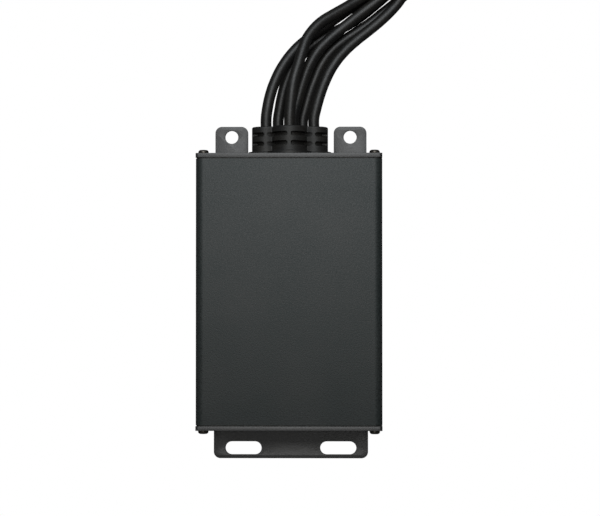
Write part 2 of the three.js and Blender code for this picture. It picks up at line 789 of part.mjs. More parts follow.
function makeCoil() {
  const section = roundedRect(coilInside, coilBase, coilOutside, coilTop, COIL_CORNER_RADIUS).getPoints(2);
  section.push(section[0].clone());
  return new THREE.LatheGeometry(section, COIL_SEGMENTS).rotateX(Math.PI / 2).translate(...COIL_CENTRE, 0);
}

function makeTie(angle) {
  const band = roundedRect(
    coilInside - CLEARANCE - TIE_THICKNESS,
    0,
    coilOutside + CLEARANCE + TIE_THICKNESS,
    coilTop + CLEARANCE + TIE_THICKNESS,
    COIL_CORNER_RADIUS + TIE_THICKNESS,
  );
  const inside = roundedRect(
    coilInside - CLEARANCE,
    coilBase - CLEARANCE,
    coilOutside + CLEARANCE,
    coilTop + CLEARANCE,
    COIL_CORNER_RADIUS,
  );
  band.holes.push(inside);
  const [, , headHeight] = TIE_HEAD;
  const headX = coilOutside + CLEARANCE + TIE_HEAD[0] / 2 + 0.2;
  const head = solidOf(boxAt(TIE_HEAD, headX, 0, (coilTop - headHeight) / 2));
  const tie = solidOf(alongY(band, -TIE_WIDTH / 2, TIE_WIDTH / 2, 4)).add(head);
  return geometryOf(tie).rotateZ(THREE.MathUtils.degToRad(angle)).translate(...COIL_CENTRE, 0);
}

addPart('lead_coil', makeCoil(), rubberBlack, cordPlace);
TIE_ANGLES.forEach((angle, i) => addPart(`coil_tie_${i + 1}`, makeTie(angle), plasticBlack, cordPlace));

// A round two-pole plug: tapered grip, coupling ring and a shallow recess round the contacts at the front.
function makeConnector() {
  const profile = [[0, 0], ...CONNECTOR_PROFILE, [0, CONNECTOR_PROFILE.at(-1)[1]]];
  return new THREE.LatheGeometry(profile.map(([r, y]) => new THREE.Vector2(r, y)), 16);
}

leads.forEach(({ name }, i) => {
  const tail = TAIL_ROUTES[name];
  addPart(`lead_tail_${i + 1}`, tube(tail, LEAD_DIAMETER, LEAD_SIDES, LEAD_DIAMETER), rubberBlack, cordPlace);
  const end = new THREE.Vector3(...tail.at(-1));
  const outwards = end.clone().sub(new THREE.Vector3(...tail.at(-2))).setZ(0).normalize();
  const connector = addPart(`connector_${i + 1}`, makeConnector(), plasticBlack, cordPlace);
  connector.position.copy(end).addScaledVector(outwards, CONNECTOR_GAP);
  connector.quaternion.setFromUnitVectors(new THREE.Vector3(0, 1, 0), outwards);
});

export default group;
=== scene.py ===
import math

import bmesh
import bpy
import numpy as np
from mathutils import Matrix, Vector, noise


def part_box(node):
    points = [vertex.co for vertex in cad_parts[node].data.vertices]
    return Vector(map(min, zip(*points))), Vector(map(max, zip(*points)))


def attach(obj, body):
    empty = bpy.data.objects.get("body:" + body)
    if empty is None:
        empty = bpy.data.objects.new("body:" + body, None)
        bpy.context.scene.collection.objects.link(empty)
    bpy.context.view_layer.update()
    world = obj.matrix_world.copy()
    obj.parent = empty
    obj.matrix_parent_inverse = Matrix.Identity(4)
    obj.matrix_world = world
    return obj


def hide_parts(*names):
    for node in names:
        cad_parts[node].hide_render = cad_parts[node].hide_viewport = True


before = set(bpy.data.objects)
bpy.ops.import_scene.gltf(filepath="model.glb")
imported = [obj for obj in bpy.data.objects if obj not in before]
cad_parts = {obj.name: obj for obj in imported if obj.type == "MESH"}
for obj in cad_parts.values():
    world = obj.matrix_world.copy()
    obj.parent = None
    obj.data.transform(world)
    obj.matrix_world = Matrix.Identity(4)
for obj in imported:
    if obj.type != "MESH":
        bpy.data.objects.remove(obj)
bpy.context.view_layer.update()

SCENE = bpy.context.scene
MM = 0.001

# --- places taken from the frame, in metres -----------------------------------------------------

HOUSING_LOW, HOUSING_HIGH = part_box("housing")
COIL_LOW, COIL_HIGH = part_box("lead_coil")
GLAND_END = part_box("cable_gland")[1].y
COIL_CENTRE = (COIL_LOW + COIL_HIGH) / 2
FACE = HOUSING_HIGH.z

# The sizes of sheet parts, the housing and the screws are in millimetres
GASKET_THICKNESS = 0.5
PLATE_THICKNESS = 2.4
PLATE_INSIDE = HOUSING_HIGH.y + GASKET_THICKNESS * MM
PLATE_HIGH_WALL = PLATE_INSIDE + PLATE_THICKNESS * MM

# --- camera -------------------------------------------------------------------------------------

CAMERA_PLACE = Vector((0.0353, -0.0103, FACE + 1.25))
CAMERA_AIM = Vector((0.006, 0.018, FACE))
CAMERA_LENS = 140.5


def turned_to(place, aim, up=Vector((0, 1, 0))):
    """The matrix of a thing at place that looks along -Z at aim, with its Y as near to up as it goes."""
    forward = (aim - place).normalized()
    right = forward.cross(up).normalized()
    top = right.cross(forward)
    turn = Matrix((right, top, -forward)).transposed().to_4x4()
    return Matrix.Translation(place) @ turn


def make_camera():
    camera = bpy.data.objects.new("camera", bpy.data.cameras.new("camera"))
    camera.data.lens = CAMERA_LENS
    camera.data.sensor_width = 36
    camera.matrix_world = turned_to(CAMERA_PLACE, CAMERA_AIM)
    SCENE.collection.objects.link(camera)
    SCENE.camera = camera


make_camera()

# --- materials ----------------------------------------------------------------------------------


def add_node(material, kind, **values):
    """A node with its named inputs set; a value that is a socket is linked."""
    node = material.node_tree.nodes.new(kind)
    for key, value in values.items():
        socket = node.inputs[key.replace("_", " ")]
        if isinstance(value, bpy.types.NodeSocket):
            material.node_tree.links.new(value, socket)
        else:
            socket.default_value = value
    return node


def noise_of(material, place, scale, detail=3.0):
    node = add_node(material, "ShaderNodeTexNoise", Vector=place, Scale=scale, Detail=detail)
    return node.outputs["Fac"]


def ranged(material, value, low, high, new_low, new_high):
    node = material.node_tree.nodes.new("ShaderNodeMapRange")
    material.node_tree.links.new(value, node.inputs["Value"])
    limits = {"From Min": low, "From Max": high, "To Min": new_low, "To Max": new_high}
    for key, limit in limits.items():
        node.inputs[key].default_value = limit
    return node.outputs["Result"]


def mixed(material, share, first, second, blend="MIX"):
    node = material.node_tree.nodes.new("ShaderNodeMix")
    node.data_type = "RGBA"
    node.blend_type = blend
    sockets = {s.identifier: s for s in node.inputs}
    wanted = {"Factor_Float": share, "A_Color": first, "B_Color": second}
    for key, value in wanted.items():
        if isinstance(value, bpy.types.NodeSocket):
            material.node_tree.links.new(value, sockets[key])
        elif key == "Factor_Float":
            sockets[key].default_value = value
        else:
            sockets[key].default_value = (*value, 1)
    return next(s for s in node.outputs if s.identifier == "Result_Color")


EDGE_RADIUS = 0.0004
EDGE_STARTS, EDGE_FULL = 0.99, 0.82
EDGE_GRAIN = (0.42, 0.62)
NOISE_LOW, NOISE_HIGH = 0.3, 0.7
GRAIN_DARK, GRAIN_LIGHT = (0.6, 0.6, 0.6), (1.4, 1.4, 1.4)


def edge_share(material, grain):
    """How much a point lies on an outer edge, broken up by the grain."""
    soft = add_node(material, "ShaderNodeBevel", Radius=EDGE_RADIUS)
    sharp = material.node_tree.nodes.new("ShaderNodeNewGeometry")
    dot = material.node_tree.nodes.new("ShaderNodeVectorMath")
    dot.operation = "DOT_PRODUCT"
    material.node_tree.links.new(soft.outputs["Normal"], dot.inputs[0])
    material.node_tree.links.new(sharp.outputs["Normal"], dot.inputs[1])
    edge = ranged(material, dot.outputs["Value"], EDGE_STARTS, EDGE_FULL, 0, 1)
    both = material.node_tree.nodes.new("ShaderNodeMath")
    both.operation = "MULTIPLY"
    material.node_tree.links.new(edge, both.inputs[0])
    material.node_tree.links.new(ranged(material, grain, *EDGE_GRAIN, 0, 1), both.inputs[1])
    return both.outputs["Value"]


def make_material(name, dark, light, roughness, patch, grain, relief, metallic=0.0, specular=0.5, worn=None):
    """A surface whose colour wanders between dark and light in patches, with a grain in relief.

    roughness is (lowest, highest); patch and grain are the sizes of the two patterns and relief
    the grain's height, all in metres. worn is the colour that shows through along the edges.
    """
    material = bpy.data.materials.new(name)
    material.use_nodes = True
    shader = material.node_tree.nodes["Principled BSDF"]
    shader.inputs["Metallic"].default_value = metallic
    shader.inputs["Specular IOR Level"].default_value = specular
    place = material.node_tree.nodes.new("ShaderNodeTexCoord").outputs["Object"]
    patches = noise_of(material, place, 1 / patch)
    fine = noise_of(material, place, 1 / grain, 2.0)
    colour = mixed(material, ranged(material, patches, NOISE_LOW, NOISE_HIGH, 0, 1), dark, light)
    grain_share = ranged(material, fine, NOISE_LOW, NOISE_HIGH, 0, 1)
    shade = mixed(material, grain_share, GRAIN_DARK, GRAIN_LIGHT)
    colour = mixed(material, 1.0, colour, shade, "MULTIPLY")
    if worn:
        colour = mixed(material, edge_share(material, fine), colour, worn)
    links = material.node_tree.links
    links.new(colour, shader.inputs["Base Color"])
    links.new(ranged(material, fine, NOISE_LOW, NOISE_HIGH, *roughness), shader.inputs["Roughness"])
    bump = add_node(material, "ShaderNodeBump", Height=fine, Strength=1.0, Distance=relief)
    links.new(bump.outputs["Normal"], shader.inputs["Normal"])
    return material


def grey(level, tint=(1, 1, 1)):
    return tuple(level * t for t in tint)


COOL = (0.74, 1.02, 1.0)
WARM = (1.12, 1.0, 0.86)
MATERIALS = {
    "housing_coating": make_material(
        "housing_coating", grey(0.017, COOL), grey(0.023, (0.86, 1.0, 0.97)), (0.46, 0.64),
        0.03, 0.0007, 0.00009, specular=0.42, worn=grey(0.05, WARM),
    ),
    "plate_coating": make_material(
        "plate_coating", grey(0.017, (1.0, 1.0, 1.03)), grey(0.022, (1.02, 1.0, 1.02)), (0.4, 0.5),
        0.02, 0.0007, 0.00006, specular=0.62, worn=grey(0.03, WARM),
    ),
    "gasket_rubber": make_material(
        "gasket_rubber", grey(0.004), grey(0.03, WARM), (0.6, 0.85), 0.003, 0.0004, 0.00005,
    ),
    "gland_plastic": make_material(
        "gland_plastic", grey(0.009), grey(0.013, WARM), (0.46, 0.6),
        0.008, 0.0005, 0.00004, specular=0.35,
    ),
    "screw_steel": make_material(
        "screw_steel", grey(0.03, WARM), grey(0.09, WARM), (0.28, 0.45),
        0.0012, 0.0003, 0.00001, metallic=0.85,
    ),
    "board_laminate": make_material(
        "board_laminate", (0.01, 0.06, 0.03), (0.015, 0.08, 0.04), (0.3, 0.4), 0.008, 0.001, 0.00002,
    ),
    "bare_aluminium": make_material(
        "bare_aluminium", grey(0.4), grey(0.5), (0.3, 0.45), 0.01, 0.0005, 0.00001, metallic=1.0,
    ),
    "thermal_silicone": make_material(
        "thermal_silicone", grey(0.22), grey(0.28), (0.7, 0.85), 0.006, 0.0008, 0.00004,
    ),
    "terminal_plastic": make_material(
        "terminal_plastic", (0.02, 0.08, 0.03), (0.03, 0.11, 0.04), (0.4, 0.55), 0.006, 0.0006, 0.00003,
    ),
    "chip_plastic": make_material(
        "chip_plastic", grey(0.008), grey(0.012), (0.5, 0.65), 0.003, 0.0004, 0.00002,
    ),
    "capacitor_sleeve": make_material(
        "capacitor_sleeve", (0.012, 0.015, 0.024), (0.018, 0.022, 0.034), (0.2, 0.32),
        0.006, 0.0008, 0.00001,
    ),
    "lead_jacket": make_material(
        "lead_jacket", grey(0.006), grey(0.009, WARM), (0.4, 0.52), 0.012, 0.0008, 0.00004, specular=0.42,
    ),
    "tie_plastic": make_material(
        "tie_plastic", grey(0.01), grey(0.014), (0.38, 0.5), 0.004, 0.0005, 0.00002,
    ),
    "connector_plastic": make_material(
        "connector_plastic", grey(0.009), grey(0.013), (0.4, 0.55), 0.006, 0.0005, 0.00003,
    ),
    "contact_brass": make_material(
        "contact_brass", (0.45, 0.3, 0.1), (0.6, 0.42, 0.16), (0.2, 0.35),
        0.002, 0.0004, 0.00001, metallic=1.0,
    ),
}


def finished(piece, slot, *nodes):
    """Gives a piece its material and slot, seats it on the unit and lets it stand for its CAD nodes."""
    if not piece.data.materials:
        piece.data.materials.append(MATERIALS[slot])
    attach(piece, "root")
    if nodes:
        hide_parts(*nodes)
    return piece


# --- mesh helpers -------------------------------------------------------------------------------

SMOOTH_ANGLE = math.radians(32)


def object_of(name, mesh):
    for polygon in mesh.polygons:
        polygon.use_smooth = True
    mesh.set_sharp_from_angle(angle=SMOOTH_ANGLE)
    piece = bpy.data.objects.new(name, mesh)
    SCENE.collection.objects.link(piece)
    return piece


def add_loft(build, rings, closed=False, material=0):
    """Skins rings of points, closed round to the first ring or closed with a fan at each end."""
    rows = [[build.verts.new(point) for point in ring] for ring in rings]
    count = len(rows[0])
    pairs = list(zip(rows, rows[1:]))
    if closed:
        pairs.append((rows[-1], rows[0]))
    for near, far in pairs:
        for i in range(count):
            j = (i + 1) % count
            build.faces.new((near[i], near[j], far[j], far[i])).material_index = material
    if not closed:
        for row in (rows[0], rows[-1]):
            middle = build.verts.new(sum((v.co for v in row), Vector()) / count)
            for i in range(count):
                build.faces.new((row[i], row[(i + 1) % count], middle)).material_index = material


def mesh_of(build, name):
    bmesh.ops.remove_doubles(build, verts=build.verts, dist=1e-6)
    bmesh.ops.recalc_face_normals(build, faces=build.faces)
    mesh = bpy.data.meshes.new(name)
    build.to_mesh(mesh)
    build.free()
    return mesh


def add_turned(build, profile, sides, ripple=None, material=0):
    """A body turned about Y from (radius, along) points, its radii changed by ripple(angle, along)."""
    rings = []
    for radius, along in profile:
        ring = []
        for i in range(sides):
            angle = 2 * math.pi * i / sides
            reach = radius + (ripple(angle, along) if ripple else 0)
            ring.append((reach * math.cos(angle), along, reach * math.sin(angle)))
        rings.append(ring)
    add_loft(build, rings, material=material)


def arc(x, y, radius, start, end, steps=8):
    angles = [start + (end - start) * i / steps for i in range(steps + 1)]
    return [(x + radius * math.cos(a), y + radius * math.sin(a)) for a in angles]


def rounded(left, bottom, right, top, radius, steps=10):
    quarter = math.pi / 2
    return [
        *arc(right - radius, bottom + radius, radius, -quarter, 0, steps),
        *arc(right - radius, top - radius, radius, 0, quarter, steps),
        *arc(left + radius, top - radius, radius, quarter, 2 * quarter, steps),
        *arc(left + radius, bottom + radius, radius, 2 * quarter, 3 * quarter, steps),
    ]


def circle(x, y, diameter, steps=40):
    return arc(x, y, diameter / 2, 0, 2 * math.pi, steps)[:-1]


def cut_sheet(outlines, thickness, edge):
    """A slab of the first outline with the others as holes, in millimetres, its edges rounded."""
    curve = bpy.data.curves.new("outline", "CURVE")
    curve.dimensions = "2D"
    curve.fill_mode = "BOTH"
    curve.extrude = thickness / 2 - edge
    curve.bevel_depth = edge
    curve.bevel_resolution = 2
    curve.offset = -edge
    for points in outlines:
        spline = curve.splines.new("POLY")
        spline.points.add(len(points) - 1)
        spline.use_cyclic_u = True
        for knot, (x, y) in zip(spline.points, points):
            knot.co = (x, y, 0, 1)
    holder = bpy.data.objects.new("outline", curve)
    SCENE.collection.objects.link(holder)
    bpy.context.view_layer.update()
    cut = bpy.data.meshes.new_from_object(holder.evaluated_get(bpy.context.evaluated_depsgraph_get()))
    build = bmesh.new()
    build.from_mesh(cut)
    bmesh.ops.remove_doubles(build, verts=build.verts, dist=1e-4)
    bpy.data.objects.remove(holder)
    bpy.data.curves.remove(curve)
    bpy.data.meshes.remove(cut)
    return build

# --- cords --------------------------------------------------------------------------------------

LEAD_DIAMETER = 0.006

# Points that each lead passes through from the gland to the coil, from the gland's end face
LEAD_ROUTES = {
    "left": [
        (-0.013, 0.0003, 0.0205),
        (-0.013, 0.0048, 0.0205),
        (-0.0124, 0.0098, 0.0203),
        (-0.0108, 0.0176, 0.0196),
        (-0.008, 0.0258, 0.0186),
        (-0.0037, 0.0343, 0.0173),
        (0.0024, 0.0425, 0.0156),
        (0.0083, 0.0481, 0.0142),
        (0.0148, 0.0531, 0.0129),
        (0.0216, 0.0583, 0.0109),
        (0.0288, 0.0637, 0.0084),
        (0.0362, 0.0692, 0.006),
        (0.0436, 0.0748, 0.0047),
    ],
    "low_left": [
        (-0.0067, 0.0003, 0.0115),
        (-0.0067, 0.0048, 0.0115),
        (-0.0059, 0.0103, 0.0115),
        (-0.0044, 0.0183, 0.0112),
        (-0.002, 0.0266, 0.0108),
        (0.0021, 0.0351, 0.0102),
        (0.0084, 0.0429, 0.0094),
        (0.015, 0.0483, 0.0085),
        (0.0224, 0.0526, 0.0074),
        (0.0302, 0.0569, 0.0064),
        (0.0378, 0.0618, 0.0056),
        (0.045, 0.0675, 0.0049),
        (0.0519, 0.0734, 0.0047),
    ],
    "front": [
        (0, 0.0003, 0.0292),
        (0, 0.0048, 0.0292),
        (0.0003, 0.0093, 0.0291),
        (0.001, 0.0167, 0.0289),
        (0.0022, 0.0249, 0.0282),
        (0.0045, 0.0331, 0.027),
        (0.0069, 0.0413, 0.0252),
        (0.0091, 0.0477, 0.0234),
        (0.0127, 0.0532, 0.0215),
        (0.0174, 0.0579, 0.0195),
        (0.0234, 0.0619, 0.0172),
        (0.0299, 0.0659, 0.0147),
        (0.0367, 0.0703, 0.0122),
        (0.0436, 0.0748, 0.011),
    ],
    "middle": [
        (0.0018, 0.0003, 0.02),
        (0.0018, 0.0048, 0.02),
        (0.0028, 0.0101, 0.0199),
        (0.0048, 0.0176, 0.0195),
        (0.0072, 0.0258, 0.0186),
        (0.0104, 0.0342, 0.0174),
        (0.015, 0.042, 0.0159),
        (0.0208, 0.0483, 0.0146),
        (0.027, 0.0537, 0.0136),
        (0.0332, 0.0587, 0.0127),
        (0.0394, 0.0637, 0.0118),
        (0.0456, 0.0685, 0.0112),
        (0.0519, 0.0734, 0.011),
    ],
    "low_right": [
        (0.0067, 0.0003, 0.0115),
        (0.0067, 0.0048, 0.0115),
        (0.008, 0.0103, 0.0115),
        (0.0102, 0.0183, 0.0112),
        (0.0132, 0.0266, 0.0107),
        (0.0168, 0.0349, 0.01),
        (0.0224, 0.0427, 0.009),
        (0.029, 0.0485, 0.0082),
        (0.0367, 0.0537, 0.0072),
        (0.044, 0.0587, 0.0062),
        (0.0502, 0.0637, 0.0054),
        (0.0564, 0.0687, 0.0048),
        (0.0624, 0.0738, 0.0047),
    ],
    "right": [
        (0.013, 0.0003, 0.0205),
        (0.013, 0.0048, 0.0205),
        (0.0141, 0.01, 0.0203),
        (0.0162, 0.0176, 0.0196),
        (0.0193, 0.026, 0.0186),
        (0.0236, 0.0343, 0.0173),
        (0.0297, 0.0421, 0.0157),
        (0.0361, 0.0481, 0.0144),
        (0.0428, 0.0535, 0.0133),
        (0.0492, 0.0589, 0.0124),
        (0.0544, 0.0639, 0.0116),
        (0.0588, 0.0689, 0.0111),
        (0.0624, 0.0738, 0.011),
    ],
}

# Points of the free ends, from the coil down to the plugs
TAIL_ROUTES = {
    "left": [
        (0.0103, 0.1347, 0.0171),
        (0.0046, 0.1326, 0.0162),
        (-0.0009, 0.1302, 0.0142),
        (-0.0063, 0.1276, 0.0118),
        (-0.0115, 0.1247, 0.0094),
        (-0.0167, 0.1216, 0.0074),
        (-0.0217, 0.1182, 0.0064),
    ],
    "low_left": [
        (0.0274, 0.1583, 0.0171),
        (0.0214, 0.1589, 0.0162),
        (0.0154, 0.1592, 0.0142),
        (0.0094, 0.1592, 0.0118),
        (0.0034, 0.1589, 0.0094),
        (-0.0026, 0.1584, 0.0074),
        (-0.0085, 0.1575, 0.0064),
    ],
    "front": [
        (0.0082, 0.1242, 0.0196),
        (0.0032, 0.1209, 0.0167),
        (-0.0017, 0.1174, 0.0142),
        (-0.0063, 0.1136, 0.0116),
        (-0.0108, 0.1096, 0.0092),
        (-0.0151, 0.1054, 0.0073),
        (-0.0192, 0.1011, 0.0064),
    ],
    "middle": [
        (0.0195, 0.1511, 0.0196),
        (0.0136, 0.1503, 0.0167),
        (0.0077, 0.1493, 0.0142),
        (0.0018, 0.1479, 0.0116),
        (-0.004, 0.1463, 0.0092),
        (-0.0097, 0.1444, 0.0073),
        (-0.0153, 0.1423, 0.0064),
    ],
    "low_right": [
        (0.0571, 0.1673, 0.0171),
        (0.052, 0.1704, 0.0162),
        (0.0467, 0.1733, 0.0142),
        (0.0413, 0.1759, 0.0118),
        (0.0358, 0.1783, 0.0094),
        (0.0302, 0.1804, 0.0074),
        (0.0245, 0.1823, 0.0064),
    ],
    "right": [
        (0.0465, 0.1665, 0.0196),
        (0.0408, 0.1684, 0.0167),
        (0.035, 0.17, 0.0142),
        (0.0292, 0.1714, 0.0116),
        (0.0233, 0.1725, 0.0092),
        (0.0173, 0.1733, 0.0073),
        (0.0113, 0.1738, 0.0064),
    ],
}

# Where each lead lies in the coil: radius of its strand, first layer, and the angle where it leaves
STRAND_PITCH = 0.0063
INNER_STRAND = 0.026
STRAND_RADII = [COIL_LOW.z + INNER_STRAND + k * STRAND_PITCH for k in range(3)]
COIL_ENTRY = 310
COIL_PLACES = {
    "left": (0, 0, 108),
    "low_left": (1, 0, 82),
    "front": (0, 1, 121),
    "middle": (1, 1, 95),
    "low_right": (2, 0, 56),
    "right": (2, 1, 69),
}
COIL_STEP = 10
RISE_START, RISE_TURN, RISE_BLEND = 188, 120, 0.35
PLUG_GAP = 0.0009
INTO_GLAND, INTO_PLUG = 0.0012, 0.0005


def rise(turned):
    """Share of the climb onto the turns below, after so many degrees: a ramp with soft ends."""
    share = min(max((turned - RISE_START) / RISE_TURN, 0), 1)
    scale = 2 * RISE_BLEND * (1 - RISE_BLEND)
    if share < RISE_BLEND:
        return share ** 2 / scale
    if share > 1 - RISE_BLEND:
        return 1 - (1 - share) ** 2 / scale
    return (share - RISE_BLEND / 2) / (1 - RISE_BLEND)


def coil_turns(name):
    strand, layer, leave = COIL_PLACES[name]
    total = (leave - COIL_ENTRY) % 360 + 360
    steps = round(total / COIL_STEP)
    points = []
    for i in range(steps + 1):
        turned = total * i / steps
        angle = math.radians(COIL_ENTRY + turned)
        level = COIL_LOW.z + STRAND_PITCH * (0.5 + layer + 2 * rise(turned))
        across = STRAND_RADII[strand] * math.cos(angle)
        along = STRAND_RADII[strand] * math.sin(angle)
        points.append(Vector((COIL_CENTRE.x + across, COIL_CENTRE.y + along, level)))
    return points


def from_gland(points):
    return [Vector((x, GLAND_END + y, z)) for x, y, z in points]


def plug_direction(name):
    """The level direction in which a lead's free end points."""
    before, last = from_gland(TAIL_ROUTES[name][-2:])
    return Vector((last.x - before.x, last.y - before.y, 0)).normalized()


def make_lead(name, number):
    into_gland = Vector((0, INTO_GLAND, 0))
    into_plug = plug_direction(name) * (PLUG_GAP + INTO_PLUG)
    points = from_gland(LEAD_ROUTES[name]) + coil_turns(name) + from_gland(TAIL_ROUTES[name])
    points[0] = points[0] - into_gland
    points.append(points[-1] + into_plug)
    curve = bpy.data.curves.new(f"lead_{name}", "CURVE")
    curve.dimensions = "3D"
    curve.bevel_depth = LEAD_DIAMETER / 2
    curve.bevel_resolution = 6
    curve.resolution_u = 8
    curve.use_fill_caps = True
    spline = curve.splines.new("BEZIER")
    spline.bezier_points.add(len(points) - 1)
    for knot, point in zip(spline.bezier_points, points):
        knot.co = point
        knot.handle_left_type = "AUTO"
        knot.handle_right_type = "AUTO"
    lead = bpy.data.objects.new(f"lead_{name}", curve)
    SCENE.collection.objects.link(lead)
    nodes = [f"lead_{number}", f"lead_tail_{number}"]
    if number == 1:
        nodes.append("lead_coil")
    return finished(lead, "lead_jacket", *nodes)


# Plug outline from its cable end, as (radius, along)
PLUG_PROFILE = [
    (0.0031, 0),
    (0.0037, 0.0001),
    (0.0039, 0.0004),
    (0.0044, 0.0052),
    (0.0047, 0.0072),
    (0.0053, 0.0084),
    (0.0056, 0.009),
]
GRIP_START, GRIP_END, GRIP_RIBS = 0.0096, 0.0194, 6
GRIP_RADIUS, GRIP_GROOVE = 0.0056, 0.00055
FLUTES, FLUTE_DEPTH, FLUTES_START, FLUTES_END = 24, 0.00018, 0.0208, 0.0242
PLUG_SIDES, PIN_SIDES = 96, 16
PIN_OFFSET = 0.0017
PIN_PROFILE = [(0.0006, 0.0271), (0.0006, 0.0291), (0.0004, 0.0295), (0.0001, 0.0297)]
PLUG_FRONT = [
    (0.0056, 0.02),
    (0.0056, 0.0204),
    (0.006, 0.0206),
    (0.0062, 0.0209),
    (0.0062, 0.0241),
    (0.006, 0.0244),
    (0.0052, 0.0248),
    (0.005, 0.0251),
    (0.005, 0.0297),
    (0.0047, 0.03),
    (0.0041, 0.03),
    (0.004, 0.0298),
    (0.004, 0.0273),
]


def plug_grip():
    """The ribbed grip: shallow round grooves between flat ribs."""
    steps = 10 * GRIP_RIBS
    points = []
    for i in range(steps + 1):
        groove = max(0, -math.cos(2 * math.pi * GRIP_RIBS * i / steps)) ** 0.5
        points.append((GRIP_RADIUS - GRIP_GROOVE * groove, GRIP_START + (GRIP_END - GRIP_START) * i / steps))
    return points


def plug_knurl(angle, along):
    """Flutes round the coupling ring."""
    on_ring = FLUTES_START < along < FLUTES_END
    return FLUTE_DEPTH * (math.cos(FLUTES * angle) - 1) if on_ring else 0


def make_plug(name, number):
    build = bmesh.new()
    add_turned(build, [*PLUG_PROFILE, *plug_grip(), *PLUG_FRONT], PLUG_SIDES, plug_knurl)
    mesh = mesh_of(build, f"plug_{name}")
    for slot in ("connector_plastic", "contact_brass"):
        mesh.materials.append(MATERIALS[slot])
    contacts = bmesh.new()
    contacts.from_mesh(mesh)
    for side in (-1, 1):
        pin = bmesh.new()
        add_turned(pin, PIN_PROFILE, PIN_SIDES)
        for vert in pin.verts:
            vert.co.x += side * PIN_OFFSET
        piece = bpy.data.meshes.new("pin")
        bmesh.ops.recalc_face_normals(pin, faces=pin.faces)
        pin.to_mesh(piece)
        pin.free()
        first = len(contacts.faces)
        contacts.from_mesh(piece)
        contacts.faces.ensure_lookup_table()
        for face in contacts.faces[first:]:
            face.material_index = 1
        bpy.data.meshes.remove(piece)
    contacts.to_mesh(mesh)
    contacts.free()
    end = from_gland(TAIL_ROUTES[name][-1:])[0]
    outwards = plug_direction(name)
    turn = Matrix((outwards.cross(Vector((0, 0, 1))), outwards, (0, 0, 1))).transposed().to_4x4()
    mesh.transform(Matrix.Translation(end + outwards * PLUG_GAP) @ turn)
    return finished(object_of(f"plug_{name}", mesh), "connector_plastic", f"connector_{number}")


# Ties round the coil
TIE_ANGLES = (-22, 34)
TIE_WIDTH, TIE_THICKNESS, TIE_CORNER = 0.0046, 0.0012, 0.003
TIE_HEAD = (0.0042, 0.0058, 0.0052)
TIE_HEAD_SHIFT, TIE_HEAD_EDGE = 0.0005, 0.0006
TIE_SLACK, TIE_STEP, TIE_TOOTH, TIE_EDGE = 0.0003, 0.0006, 0.00012, 0.0003
EDGE_LEAN = 0.3


def add_rounded_box(build, size, place, edge):
    """A block with rounded edges, as a stack of rounded outlines."""
    width, length, height = size
    rings = []
    lean = EDGE_LEAN * edge
    steps = [(0, edge), (lean, lean), (edge, 0), (height - edge, 0), (height - lean, lean), (height, edge)]
    for level, inset in steps:
        x, y = width / 2 - inset, length / 2 - inset
        outline = rounded(-x, -y, x, y, edge, 4)
        rings.append([(place[0] + x, place[1] + y, place[2] + level) for x, y in outline])
    add_loft(build, rings)


def make_tie(angle, number):
    outside = (COIL_HIGH.x - COIL_LOW.x) / 2
    inside = STRAND_RADII[0] - STRAND_PITCH / 2
    gap = TIE_THICKNESS / 2 + TIE_SLACK
    path = rounded(inside - gap, COIL_LOW.z - gap, outside + gap, COIL_HIGH.z + gap, TIE_CORNER, 8)
    dense = []
    for (x, z), (to_x, to_z) in zip(path, path[1:] + path[:1]):
        steps = max(1, round(math.hypot(to_x - x, to_z - z) / TIE_STEP))
        dense += [(x + (to_x - x) * i / steps, z + (to_z - z) * i / steps) for i in range(steps)]
    rings = []
    for i, (x, z) in enumerate(dense):
        ahead, behind = dense[(i + 1) % len(dense)], dense[i - 1]
        along = Vector((ahead[0] - behind[0], 0, ahead[1] - behind[1])).normalized()
        out = Vector((along.z, 0, -along.x))
        tooth = TIE_TOOTH if i % 2 else 0
        half, thick = TIE_WIDTH / 2, TIE_THICKNESS / 2
        section = rounded(-half, -thick, half, thick - tooth, TIE_EDGE, 2)
        rings.append([Vector((x, v, z)) + out * w for v, w in section])
    build = bmesh.new()
    add_loft(build, rings, closed=True)
    head_x = outside + TIE_HEAD_SHIFT + TIE_HEAD[0] / 2
    add_rounded_box(build, TIE_HEAD, (head_x, 0, (COIL_HIGH.z - TIE_HEAD[2]) / 2), TIE_HEAD_EDGE)
    mesh = mesh_of(build, f"coil_tie_{number}")
    turn = Matrix.Rotation(math.radians(angle), 4, "Z")
    mesh.transform(Matrix.Translation((COIL_CENTRE.x, COIL_CENTRE.y, 0)) @ turn)
    return finished(object_of(f"tie_{number}", mesh), "tie_plastic", f"coil_tie_{number}")


ties = [make_tie(angle, number) for number, angle in enumerate(TIE_ANGLES, 1)]
for number, name in enumerate(LEAD_ROUTES, 1):
    lead = make_lead(name, number)
    on_it = [make_plug(name, number)]
    if number == 1:
        on_it += ties

# --- gland --------------------------------------------------------------------------------------

GLAND_SIDES = 480
LOBE_RADIUS, FRONT_LOBE_RADIUS = 0.0077, 0.0094
LOBES = {name: (points[0][0], points[0][2]) for name, points in LEAD_ROUTES.items()}
GLAND_MIDDLE = (0.0, LOBES["middle"][1])
FLANGE_RIM, FLANGE_THICKNESS = 0.002, 0.0018
NECK_INSET, LIP_RIM, LIP_THICKNESS = 0.001, 0.0006, 0.002
SLOT_STARTS = (0.00505, 0.01005)
SLOT_HEIGHT, SLOT_DEPTH, POST_WIDTH = 0.002, 0.003, 0.0022
SLOT_EDGE = 0.00016
VALLEY = 2
FIRST_RING, RING_STEP = 0.0007, 0.00018
LIP_GAP, LIP_ROUND = 0.0003, 0.0003
FLANGE_ROUND, FLANGE_UNDER = 0.0005, 0.0001
GLAND_FILLET = 0.0008
DISH_DEPTH, DISH_START, DISH_END = 0.0007, 0.0035, 0.0047


